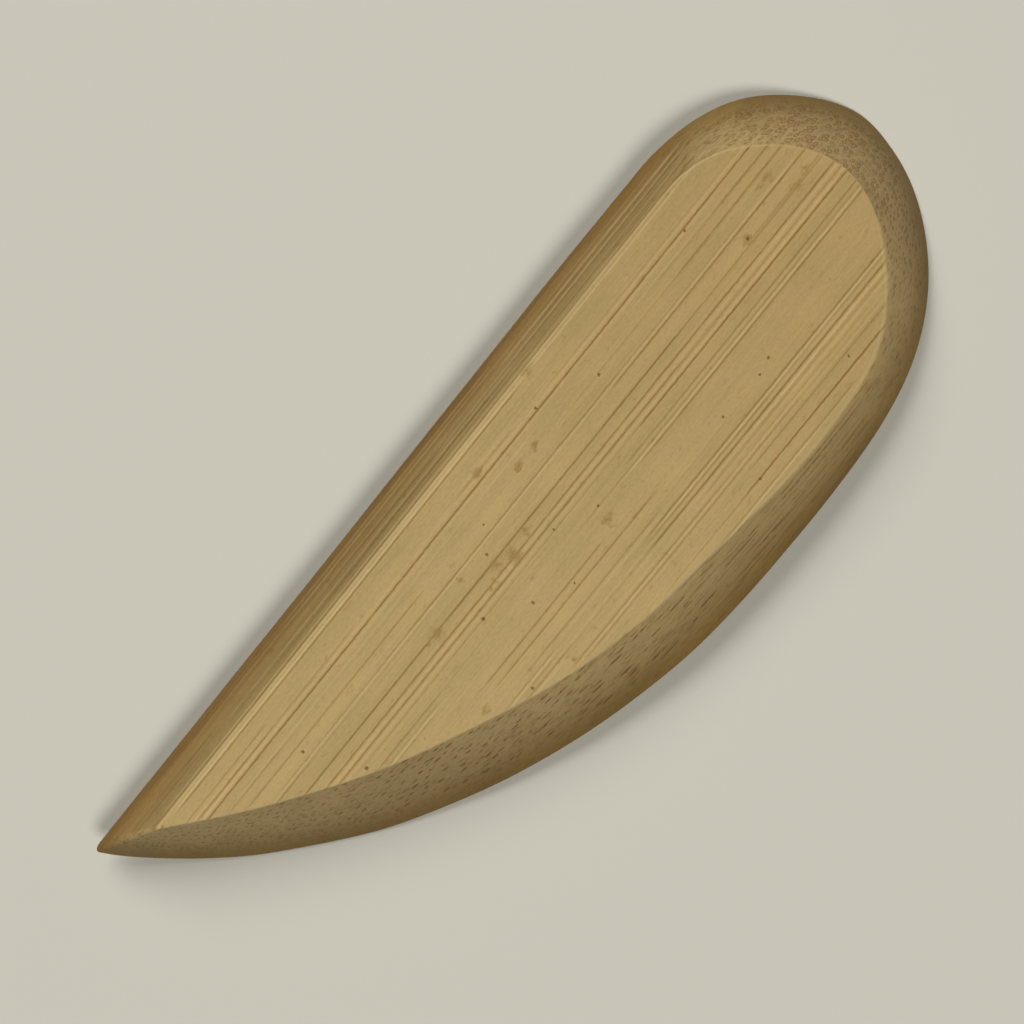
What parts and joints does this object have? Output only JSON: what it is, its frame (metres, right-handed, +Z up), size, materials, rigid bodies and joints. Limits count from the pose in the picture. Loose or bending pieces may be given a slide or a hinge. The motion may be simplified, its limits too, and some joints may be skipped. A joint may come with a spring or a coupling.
{
  "type": "pottery rib",
  "caption": "Bamboo pottery rib: a flat strip of culm wall with a straight spine, a bowed belly, a round butt and a pointed tip, bevelled all round for shaping and smoothing clay.",
  "frame": {"origin": "on the surface it rests on, under the middle of the rib's length and width", "axes": "+X along the grain from the pointed tip to the round butt, +Y towards the straight spine, +Z up from the rounded skin side to the planed inner face"},
  "size_m": [0.15, 0.051, 0.01],
  "materials": {
    "bamboo": "sanded bamboo, bare and satin, handled smooth"
  },
  "bodies": {
    "root": {"rib_blade": "bamboo"}
  },
  "joints": []
}
